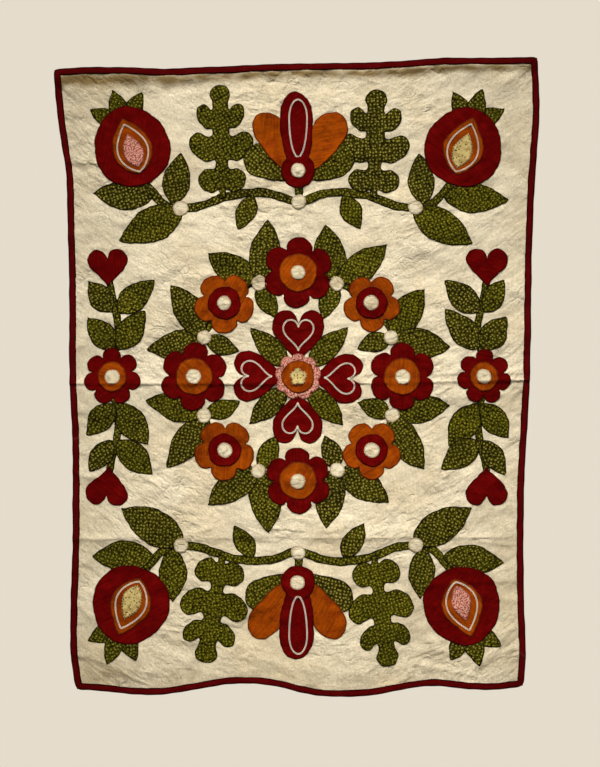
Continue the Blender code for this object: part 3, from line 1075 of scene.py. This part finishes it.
class Cloth(Nodes):
    """Node material for cotton cloth: a colour, a bump and a rough Principled BSDF."""

    def __init__(self, name, colour, rough=0.92, sheen=0.02, sheen_tint=(1, 1, 1)):
        self.material = bpy.data.materials.new(name)
        super().__init__(self.material)
        self.colour = colour
        self.shader = self.tree.nodes["Principled BSDF"]
        for key, value in (("Roughness", rough), ("Specular IOR Level", 0.02),
                           ("Sheen Weight", sheen), ("Sheen Roughness", 0.5),
                           ("Sheen Tint", sheen_tint)):
            self.feed(self.shader.inputs[key], value)
        self.place = self.node("TexCoord").outputs["Object"]
        # The same, but level along the lines in which cloth held at its top corners sags
        x, y, z = self.node("SeparateXYZ", self.place).outputs
        sag = self.times(self.times(x, x), -0.95)
        self.hung = self.node("CombineXYZ", x, y, self.plus(z, sag)).outputs["Vector"]

    def attribute(self, name, kind="Fac"):
        return self.node("Attribute", attribute_name=name).outputs[kind]

    def scaled(self, vector, scale):
        return self.node("Mapping", Vector=vector, Scale=scale).outputs["Vector"]

    def noise(self, scale, detail=2.0, rough=0.5, vector=None):
        return self.node("TexNoise", Vector=vector or self.place, Scale=scale, Detail=detail,
                         Roughness=rough).outputs["Fac"]

    def span(self, value, low, high, to_low=0.0, to_high=1.0, smooth=False):
        """Value carried from one range to another and kept inside it."""
        return self.node("MapRange", value, low, high, to_low, to_high,
                         interpolation_type="SMOOTHSTEP" if smooth else "LINEAR").outputs["Result"]

    def patchy(self, low, high, *noise):
        """Noise as soft-edged patches, 0 where it is below low and 1 above high."""
        return self.span(self.noise(*noise), low, high, smooth=True)

    def weave(self, pitch):
        """Plain weave of this thread spacing, from 0 in its gaps to 1 on its threads."""
        x, _, z = self.node("SeparateXYZ", self.place).outputs
        turn = 2 * math.pi / pitch
        warp, weft = (self.math("SINE", self.times(along, turn)) for along in (x, z))
        return self.span(self.times(warp, weft), -1, 1)

    def wandering(self, vector, scale, amount):
        """A vector pushed about by noise of this scale, by up to this amount."""
        noise = self.node("TexNoise", Vector=vector, Scale=scale, Detail=2.0)
        return self.node("VectorMath", noise.outputs["Color"], (amount,) * 3, vector,
                         operation="MULTIPLY_ADD").outputs["Vector"]

    def facets(self, scale):
        """Crumpled facets about 1 / scale metres wide."""
        return self.node("TexVoronoi", Vector=self.wandering(self.place, scale * 0.6, 0.6 / scale),
                         Scale=scale, feature="F1").outputs["Distance"]

    def crinkles(self, scale, width):
        """Short wandering creases between facets, 1 along them; about one in three shows."""
        line = self.node("TexVoronoi", Vector=self.wandering(self.place, scale * 1.3, 0.9 / scale),
                         Scale=scale, feature="DISTANCE_TO_EDGE").outputs["Distance"]
        return self.times(self.span(line, 0, width * scale, 1.0, 0.0, True),
                          self.patchy(0.48, 0.64, scale * 0.9))

    def crests(self, scale, reach):
        """Long wandering folds, mostly level: 1 on their crests and 0 beyond reach; some show."""
        off = self.off_middle(scale, 1.5, self.scaled(self.hung, (0.68, 1, 1.4)))
        return self.times(self.span(off, 0, reach, 1.0, 0.0), self.patchy(0.46, 0.62, scale * 0.55))

    def off_middle(self, scale, detail, vector):
        """How far noise is from its middle value, which it crosses along wandering lines."""
        noise = self.noise(scale, detail, 0.5, vector)
        return self.math("ABSOLUTE", self.math("SUBTRACT", noise, 0.5))

    def dots(self, scale, randomness, vector, inner, outer):
        """Soft dots on scattered points, 1 inside, and a colour at random for each point."""
        cells = self.node("TexVoronoi", Vector=vector, Scale=scale, Randomness=randomness,
                          voronoi_dimensions="2D")
        spots = self.span(cells.outputs["Distance"], inner, outer, 1.0, 0.0, True)
        return spots, self.node("SeparateColor", cells.outputs["Color"])

    def shade(self, value, low, high, dark, light):
        """Darken or lighten the colour with a value that varies over the cloth."""
        factor = self.span(value, low, high, dark, light)
        grey = self.node("CombineColor", factor, factor, factor).outputs["Color"]
        self.colour = self.mix(1.0, self.colour, grey, "MULTIPLY")

    def stain(self, mask, share, colour):
        """Turn the colour towards another one where a mask is 1, by this share."""
        self.colour = self.mix(self.times(mask, share), self.colour, colour)

    def bumps(self, threads, weave, crumpled, *noise):
        """Height of the threads, by the first number, and of crumpling noise, by the second."""
        return self.plus(self.times(self.noise(*noise), crumpled), self.times(threads, weave))

    def finish(self, height, depth=BUMP_DEPTH):
        """Join up the colour and the bump, whose height is in units of depth."""
        bump = self.node("Bump", Height=height, Distance=depth, Strength=0.9)
        self.feed(self.shader.inputs["Normal"], bump.outputs["Normal"])
        self.feed(self.shader.inputs["Base Color"], self.colour)
        return self.material


class PatchCloth(Cloth):
    """A patch's cloth, with its print coordinates, tone, a rounded-edge mask for painted shade
    along its turned edge, and weave.
    """

    def __init__(self, name, colour, sheen_tint):
        super().__init__(name, colour, sheen_tint=sheen_tint)
        self.cut, self.tone = self.attribute("cut", "Vector"), self.attribute("tone")
        # 1 along the turned edge, where painted shade darkens the cloth
        self.rim_shade = self.span(self.attribute("depth"), 1.2 * MM, 2.5 * MM, 1.0, 0.0, True)
        self.threads = self.weave(FINE_PITCH)

    def crumpling(self, amount=7.5):
        return self.bumps(self.threads, 0.12, amount, 70.0, 4.0, 0.56)

    def edged(self, dark, light, share, colour):
        """Finish a print: shade its threads and darken its turned edge with painted shade."""
        self.shade(self.threads, 0, 1, dark, light)
        # painted shade along the turned edge
        self.stain(self.rim_shade, share, colour)
        return self.finish(self.crumpling())


def muslin(name, colour, stain, stain_amount):
    """Unbleached plain-weave cotton with slubs, faint stains, parts soiled and darkened with
    painted shade, and crumpling.
    """
    cloth = Cloth(name, colour)
    cloth.stain(cloth.patchy(0.40, 0.66, 9.0, 4.0, 0.6), 0.36, stain)
    cloth.stain(cloth.patchy(0.52, 0.72, 70.0, 3.0, 0.6), stain_amount, stain)
    # Soiling and painted shade: the shadow under the top binding, and a darker foot, sides and
    # patches
    cloth.stain(cloth.attribute("soil_and_shade"), 1.0, SOIL_AND_SHADE_COLOUR)
    slub = cloth.plus(cloth.noise(140.0, 1.0, 0.5, cloth.scaled(cloth.place, (0.10, 1, 5.5))),
                      cloth.noise(140.0, 1.0, 0.5, cloth.scaled(cloth.place, (5.5, 1, 0.10))))
    threads = cloth.weave(TOP_PITCH)
    cloth.shade(cloth.noise(330.0, 3.0, 0.65), 0.30, 0.70, 0.80, 1.16)
    cloth.shade(slub, 0.7, 1.3, 0.975, 1.025)
    cloth.shade(threads, 0, 1, 0.94, 1.03)
    crumple = cloth.noise(60.0, 4.0, 0.55, cloth.scaled(cloth.hung, (0.80, 1, 1.22)))
    folds = cloth.plus(cloth.times(cloth.facets(30.0), 5.0),
                       cloth.times(cloth.crests(24.0, 0.085), 1.9))
    creased = cloth.plus(cloth.crinkles(26.0, 3.2 * MM), cloth.crinkles(55.0, 2.2 * MM))
    crumpled = cloth.math("SUBTRACT", cloth.plus(cloth.times(crumple, 9.5), folds),
                          cloth.times(creased, 1.3))
    restless = cloth.span(cloth.noise(8.0), 0.38, 0.62, 0.55, 1.30, True)
    fine = cloth.plus(cloth.times(threads, 0.12), cloth.times(slub, 0.14))
    return cloth.finish(cloth.plus(cloth.times(crumpled, restless), fine))


def plain_cotton(name, colour, worn, edge_shade_colour, worn_amount):
    """Plain dyed cotton, a little faded in clouds, darker along its turned edges with painted
    shade.
    """
    cloth = PatchCloth(name, colour, colour)
    cloth.stain(cloth.patchy(0.42, 0.66, 42.0, 5.0, 0.68), worn_amount, worn)
    streaks = cloth.noise(150.0, 2.0, 0.6, cloth.scaled(cloth.cut, (0.22, 3.0, 1)))
    cloth.shade(streaks, 0.3, 0.7, 0.70, 1.26)
    cloth.shade(cloth.tone, 0, 1, 0.90, 1.08)
    return cloth.edged(0.86, 1.06, 0.75, edge_shade_colour)


def green_print(name):
    """Cotton printed with pale sprigs close together on a mottled near-black green."""
    cloth = PatchCloth(name, (0.0120, 0.0080, 0.0006), (0.5, 0.5, 0.1))
    olive = cloth.mix(cloth.tone, (0.084, 0.077, 0.0040), (0.046, 0.040, 0.0030))
    cloth.stain(cloth.patchy(0.42, 0.62, 380.0, 2.0, 0.6, cloth.cut), 1.0, olive)
    sprig, chance = cloth.dots(186.0, 0.55, cloth.wandering(cloth.cut, 260.0, 1.6 * MM), 0.17, 0.33)
    bright = cloth.span(chance.outputs["Red"], 0, 1, 0.50, 1.0)
    sprig_colour = cloth.mix(cloth.tone, (0.206, 0.189, 0.0125), (0.290, 0.246, 0.047))
    cloth.stain(sprig, bright, sprig_colour)
    cloth.shade(cloth.noise(24.0), 0.35, 0.65, 0.82, 1.12)
    # near-black painted shade along the turned edge
    return cloth.edged(0.86, 1.08, 0.94, (0.0050, 0.0032, 0.0010))


def pink_print(name):
    """Pink cotton covered with fine red specks."""
    cloth = PatchCloth(name, (0.640, 0.330, 0.240), (1, 0.6, 0.5))
    cloth.stain(cloth.patchy(0.46, 0.55, 400.0, 2.0, 0.7, cloth.cut), 1.0, (0.260, 0.040, 0.032))
    # painted shade along the turned edge
    return cloth.edged(0.90, 1.05, 0.6, (0.230, 0.045, 0.035))


def yellow_print(name):
    """Straw-coloured cotton with scattered dark flecks."""
    cloth = PatchCloth(name, (0.560, 0.440, 0.170), (1, 0.9, 0.6))
    cloth.stain(cloth.patchy(0.4, 0.62, 180.0, 2.0, 0.6, cloth.cut), 1.0, (0.400, 0.280, 0.095))
    fleck, chance = cloth.dots(230.0, 0.9, cloth.cut, 0.20, 0.28)
    picked = cloth.math("GREATER_THAN", chance.outputs["Green"], 0.55)
    cloth.stain(fleck, picked, (0.030, 0.014, 0.008))
    # painted shade along the turned edge
    return cloth.edged(0.90, 1.05, 0.55, (0.110, 0.060, 0.022))


def cream_patch(name):
    """Bleached muslin discs, creased, with painted shade in their creases and along their turned
    edges.
    """
    cloth = PatchCloth(name, (0.690, 0.604, 0.424), (1, 0.95, 0.85))
    cloth.stain(cloth.patchy(0.42, 0.70, 60.0, 3.0, 0.6), 1.0, (0.565, 0.450, 0.272))
    cloth.shade(cloth.threads, 0, 1, 0.94, 1.03)
    off = cloth.off_middle(78.0, 1.5, cloth.scaled(cloth.place, (0.7, 1, 1.7)))
    folds = cloth.span(off, 0.01, 0.055, 1.0, 0.0, True)
    # painted shade in the creases
    cloth.stain(folds, 0.50, (0.400, 0.300, 0.165))
    # painted shade along the turned edge
    cloth.stain(cloth.rim_shade, 0.55, (0.220, 0.140, 0.068))
    return cloth.finish(cloth.math("SUBTRACT", cloth.crumpling(4.0), cloth.times(folds, 0.9)))


def maroon_binding(name):
    """Maroon binding, darkened with painted shade at its folds and hems, worn at its tips."""
    cloth = Cloth(name, (0.082, 0.0012, 0.0014), sheen_tint=(0.5, 0.02, 0.02))
    threads = cloth.weave(FINE_PITCH)
    inset = cloth.attribute("inset")
    # Painted shade: darker towards the fold at the outer edge and the hem at the inner edge
    middle = cloth.times(cloth.span(inset, 1.5 * MM, 3.0 * MM, 0.22, 1.0, True),
                         cloth.span(inset, 8.8 * MM, 10.2 * MM, 1.0, 0.20, True))
    cloth.stain(cloth.patchy(0.45, 0.72, 45.0, 4.0, 0.6), 0.45, (0.125, 0.0040, 0.0040))
    cloth.shade(threads, 0, 1, 0.84, 1.06)
    cloth.shade(middle, 0, 1, 0, 1)
    cloth.stain(cloth.attribute("tip"), 0.25, (0.200, 0.055, 0.050))
    return cloth.finish(cloth.bumps(threads, 0.10, 1.6, 90.0, 3.0, 0.55))


def thread(name, colour, dark):
    """Two-ply cotton thread."""
    cloth = Cloth(name, dark, rough=0.8, sheen=0.1)
    ply = cloth.span(cloth.noise(2600.0, 1.0), 0.4, 0.6)
    cloth.stain(ply, 1.0, colour)
    return cloth.finish(ply, 0.05 * MM)


# ---------------- the pieces

# The last colour of each plain cotton is painted shade along its turned edges
CLOTHS = {
    "red": plain_cotton("red_cloth", (0.098, 0.0007, 0.0007), (0.140, 0.0024, 0.0018),
                        (0.022, 0.0005, 0.0006), 0.6),
    "orange": plain_cotton("orange_cloth", (0.278, 0.048, 0.0012), (0.185, 0.025, 0.0012),
                           (0.060, 0.0045, 0.0012), 0.85),
    "green": green_print("green_print_cloth"),
    "pink": pink_print("pink_print_cloth"),
    "yellow": yellow_print("yellow_print_cloth"),
    "cream": cream_patch("cream_disc_cloth"),
}
TOP_CLOTH = muslin("muslin_top_cloth", (0.745, 0.648, 0.462), (0.560, 0.430, 0.240), 0.18)
BACK_CLOTH = muslin("muslin_backing_cloth", (0.700, 0.590, 0.390), (0.520, 0.400, 0.230), 0.16)
BIND_CLOTH = maroon_binding("maroon_binding_cloth")
DARK_THREAD = thread("dark_green_thread", (0.020, 0.018, 0.0040), (0.008, 0.007, 0.002))
RED_THREAD = thread("dark_red_thread", (0.060, 0.0025, 0.0022), (0.030, 0.0010, 0.0010))
CREAM_THREAD = thread("cream_thread_cloth", (0.900, 0.830, 0.680), (0.720, 0.640, 0.480))


def in_box(x, z):
    """Flat places of points for texture, as shares of the quilt's height."""
    return np.column_stack((x - CAD_LOW.x, z - CAD_LOW.z)) / HEIGHT


# Muslin top and plain backing. Where patches cover the top it lies a little lower.
x, z = sheet_points(*TOP_GRID)
covered = sample(blur((owner >= 0).astype(float), 2), x, z) > 0.90
level = sample(ground, x, z) - np.where(covered, COVERED_DROP, 0)
# The muslin top carries soiling and painted shade as a point attribute
top_piece = build("muslin_top", face(x, z, level), grid_faces(*TOP_GRID), TOP_CLOTH,
                  (("soil_and_shade", "FLOAT", sample(soil_and_shade, x, z)),), in_box(x, z))
x, z = sheet_points(*BACK_GRID)
back_rise = sample(0.25 * ground + 0.12 * MM * cloud(20), x, z)
back = np.column_stack((x, sample(MID, x, z) + BODY_HALF - back_rise, z))
back_piece = build("muslin_backing", back, grid_faces(*BACK_GRID)[:, ::-1], BACK_CLOTH,
                   uv=in_box(x, z))
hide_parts("quilt_body")

# Patches, joined by fabric; what a later patch hides lies a little lower
for fabric in FABRICS:
    start, faces, placed_points = 0, [], []
    for number, flat, rise, made, *_ in parts[fabric]:
        rows, cols, _ = window(flat, 6 * MM)
        hidden = np.zeros((ROWS, COLS))
        hidden[rows, cols] = blur((owner[rows, cols] > number).astype(float), 1)
        drop = np.where(sample(hidden, *flat.T) > 0.80, HIDDEN_DROP, 0)
        placed_points.append(face(*flat.T, rise - drop))
        faces += [[i + start for i in f] for f in made]
        start += len(flat)
    points = np.vstack(placed_points)
    depth, cut, tone = (np.concatenate([g[i] for g in parts[fabric]]) for i in (4, 5, 6))
    piece = build(fabric + "_patches", points, faces, CLOTHS[fabric],
                  (("depth", "FLOAT", depth), ("cut", "FLOAT_VECTOR", cut),
                   ("tone", "FLOAT", tone)), in_box(points[:, 0], points[:, 2]))

# Hem stitches of the patches, in three threads
for name, material, fabrics in (("green_patch_stitches", DARK_THREAD, ("green",)),
                                ("red_patch_stitches", RED_THREAD, ("red", "orange", "pink")),
                                ("cream_patch_stitches", CREAM_THREAD, ("cream", "yellow"))):
    paths = [hem_stitches(ring, number)
             for number, (fabric, ring) in enumerate(sewn) if fabric in fabrics]
    piece = build(name, *tubes(np.concatenate(paths), THREAD), material)

# Outline embroidery
paths = np.concatenate([chain_stitch(line) for line in lines])
piece = build("outline_embroidery", *tubes(paths, CHAIN_THREAD, 4, True), CREAM_THREAD)


def join_share(line, upper, lower):
    """How far down a side its two strips meet."""
    height = (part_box(upper)[0].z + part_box(lower)[1].z) / 2
    top, bottom = edge(TOP, edge(line, CAD_HIGH.z)), edge(HEM, edge(line, CAD_LOW.z))
    return (top - height) / (top - bottom)


def hem_stitch_paths(points):
    """Paths of the stitches along both hems of a binding strip, from the quilt into its fold."""
    made = []
    for hem, facing in ((points[::3, :-6:-1], 1), (points[::3, :5], -1)):
        hem = hem[2:-2]
        into = hem[:, 0] - hem[:, 4]
        into[:, 1] = 0
        into = unit(into)
        out = np.array((0, -0.20 * MM * facing, 0))
        made.append(np.stack((hem[:, 0] + into * 0.6 * MM, hem[:, 1] + out,
                              hem[:, 2] + out, hem[:, 3] - out), 1))
    return made


# Binding: six strips, and the stitches along both of their hems
left_share = join_share(LEFT, "binding_left_upper", "binding_left_lower")
right_share = join_share(RIGHT, "binding_right_upper", "binding_right_lower")
binding_pieces, hem_paths = [], []
for node, side, start, end in (("binding_top", "top", 0, 1), ("binding_hem", "hem", 0, 1),
                               ("binding_left_upper", "left", 0, left_share),
                               ("binding_left_lower", "left", left_share, 1),
                               ("binding_right_upper", "right", 0, right_share),
                               ("binding_right_lower", "right", right_share, 1)):
    points, flat, tip = binding_strip(side, start, end)
    inset = np.tile([abs(i) * MM for i, _ in SECTION], len(points))
    faces = facing_out(points, grid_faces(len(SECTION), len(points)), FRONT_ROW)
    piece = build(node.replace("binding", "maroon_strip"), points.reshape(-1, 3), faces,
                  BIND_CLOTH, (("inset", "FLOAT", inset), ("tip", "FLOAT", tip)),
                  flat / EDGE_LENGTH["left"])
    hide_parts(node)
    binding_pieces.append(piece)
    hem_paths += hem_stitch_paths(points)
piece = build("binding_stitches", *tubes(np.concatenate(hem_paths), THREAD), RED_THREAD)


# ---------------- camera, light and floor

camera = bpy.data.objects.new("camera", bpy.data.cameras.new("camera"))
bpy.context.scene.collection.objects.link(camera)
camera.data.lens = 72
camera.location = (0.003, -2.405, -0.502)
camera.rotation_euler = (math.radians(90), 0, 0)
bpy.context.scene.camera = camera
bpy.context.scene.view_settings.view_transform = "Standard"


def area_light(name, place, aim, size, power, colour, spread):
    light = bpy.data.lights.new(name, "AREA")
    light.size, light.energy, light.color = size, power, colour
    light.spread = math.radians(spread)
    lamp = bpy.data.objects.new(name, light)
    lamp.location = place
    lamp.rotation_euler = (Vector(aim) - Vector(place)).to_track_quat("-Z", "Y").to_euler()
    bpy.context.scene.collection.objects.link(lamp)


area_light("key", place=(-0.6, -3.7, 4.7), aim=(0.05, 0, -0.60), size=1.0, power=8.2,
           colour=(1.0, 0.985, 0.95), spread=16)
area_light("fill", place=(1.8, -3.0, -0.2), aim=(0.1, 0, -0.5), size=2.2, power=3,
           colour=(1, 1, 1), spread=90)
area_light("back", place=(1.3, 3.3, 0.9), aim=(0, 0, -0.55), size=1.8, power=18,
           colour=(1, 0.98, 0.95), spread=60)

# A pale surround for the camera, and a faint even light for everything else
world = bpy.data.worlds.new("pale_surround")
bpy.context.scene.world = world
sky = Nodes(world)
shown = sky.tree.nodes["Background"]
sky.feed(shown.inputs["Color"], (0.783, 0.716, 0.604))
lit = sky.node("Background", Color=(1.0, 0.97, 0.92), Strength=0.085)
surface = sky.for_camera(lit.outputs["Background"], shown.outputs["Background"])
sky.feed(sky.tree.nodes["World Output"].inputs["Surface"], surface)

# The floor; the camera sees it evened out with a flat pale tone, as in a large light room.
bpy.ops.mesh.primitive_plane_add(size=1, location=(0, -0.6, -1.35))
floor = bpy.context.object
floor.name, floor.scale = "floor", (3.6, 3.0, 1)
finish = bpy.data.materials.new("floor_paint")
floor.data.materials.append(finish)
paint = Nodes(finish)
coat = paint.tree.nodes["Principled BSDF"]
paint.feed(coat.inputs["Base Color"], (0.72, 0.68, 0.60))
paint.feed(coat.inputs["Roughness"], 0.8)
even = paint.node("Emission", Color=(0.66, 0.61, 0.52))
surface = paint.for_camera(coat.outputs["BSDF"], even.outputs["Emission"], 0.65)
paint.feed(paint.tree.nodes["Material Output"].inputs["Surface"], surface)
